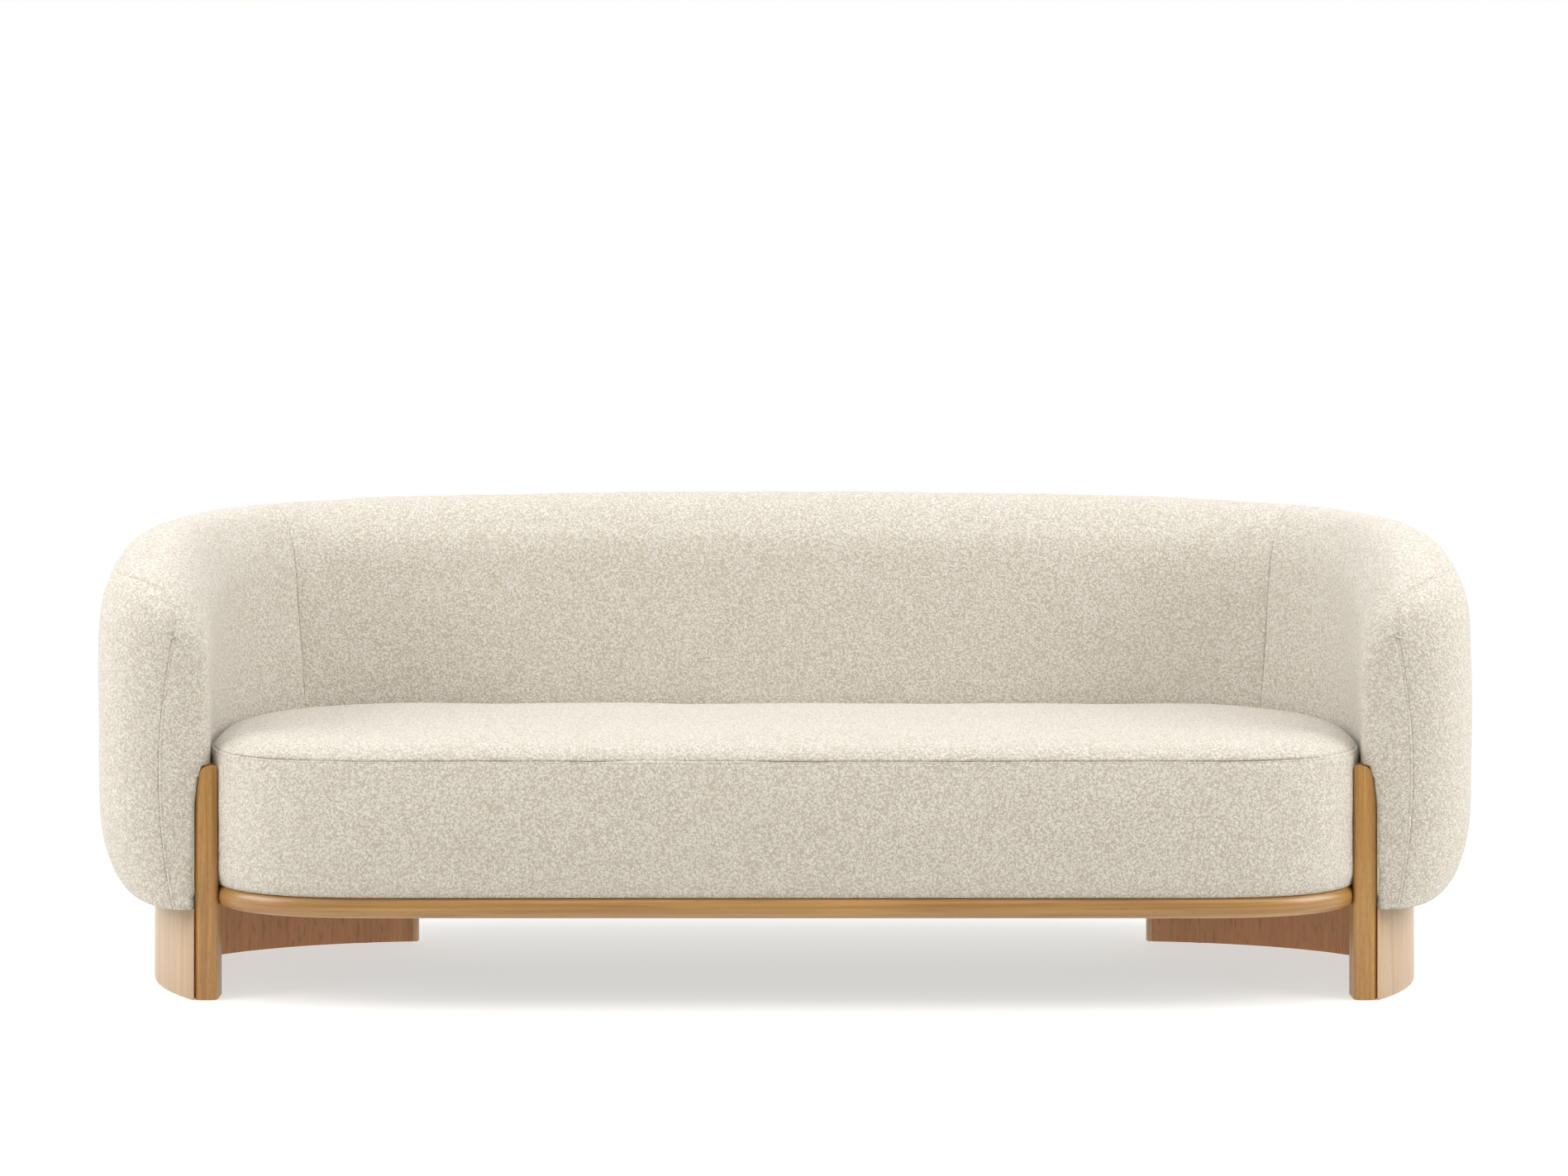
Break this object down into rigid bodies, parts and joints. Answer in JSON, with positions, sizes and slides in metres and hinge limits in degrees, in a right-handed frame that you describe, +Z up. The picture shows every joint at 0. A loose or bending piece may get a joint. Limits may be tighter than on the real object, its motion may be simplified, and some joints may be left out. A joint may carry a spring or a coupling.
{
  "type": "curved sofa",
  "caption": "Curved upholstered sofa: a rounded back-and-arms shell round an oval bench seat, on a bentwood base of two posts, a bowed rail and C-shaped leg panels.",
  "frame": {"origin": "middle of the object's box, on the floor", "axes": "+X to the right as seen from the front, the front faces -Y, +Z up"},
  "size_m": [2.2502, 0.8105, 0.777],
  "materials": {
    "dust_cloth": "thin black dust cloth",
    "felt": "grey spring felt",
    "foam": "open-cell seating foam",
    "frame_wood": "planed hardwood",
    "looped_fabric": "off-white looped-pile fabric, matt",
    "nylon": "dark nylon glide",
    "oiled_wood": "oiled honey-coloured solid wood, satin",
    "pale_wood": "pale solid lipping, satin",
    "plywood": "birch plywood",
    "steel": "bright zinc-plated steel",
    "veneer": "oiled veneer with upright grain, satin"
  },
  "bodies": {
    "root": {"right_front_post": "oiled_wood", "left_front_post": "oiled_wood", "right_rail_dowel": "frame_wood", "left_rail_dowel": "frame_wood", "right_leg_panel": "veneer", "left_leg_panel": "veneer", "right_rear_lipping": "pale_wood", "left_rear_lipping": "pale_wood", "right_front_glide": "nylon", "left_front_glide": "nylon", "right_side_glide": "nylon", "left_side_glide": "nylon", "right_rear_glide": "nylon", "left_rear_glide": "nylon", "front_rail": "oiled_wood", "rear_base_rail": "plywood", "right_ring_bracket": "steel", "left_ring_bracket": "steel", "seat_band_cover": "looped_fabric", "seat_top_cover": "looped_fabric", "seat_foam": "foam", "seat_rail_front": "frame_wood", "seat_rail_back": "frame_wood", "right_seat_rail": "frame_wood", "left_seat_rail": "frame_wood", "right_seat_cross_rail": "frame_wood", "left_seat_cross_rail": "frame_wood", "seat_spring_1": "steel", "seat_spring_2": "steel", "seat_spring_3": "steel", "seat_spring_4": "steel", "seat_spring_5": "steel", "seat_spring_6": "steel", "seat_spring_pad": "felt", "seat_dust_cover": "dust_cloth", "right_inner_arm_cover": "looped_fabric", "left_inner_arm_cover": "looped_fabric", "right_outer_arm_cover": "looped_fabric", "left_outer_arm_cover": "looped_fabric", "inner_back_cover": "looped_fabric", "outer_back_cover": "looped_fabric", "shell_base_former": "plywood", "shell_dust_cover": "dust_cloth", "shell_top_former": "plywood", "back_upright_middle": "frame_wood", "right_back_upright": "frame_wood", "left_back_upright": "frame_wood", "right_shoulder_upright": "frame_wood", "left_shoulder_upright": "frame_wood", "right_corner_upright": "frame_wood", "left_corner_upright": "frame_wood", "right_arm_upright": "frame_wood", "left_arm_upright": "frame_wood", "right_arm_foam": "foam", "left_arm_foam": "foam", "back_foam": "foam", "right_front_leg_bolt": "steel", "left_front_leg_bolt": "steel", "right_rear_leg_bolt": "steel", "left_rear_leg_bolt": "steel"}
  },
  "joints": []
}
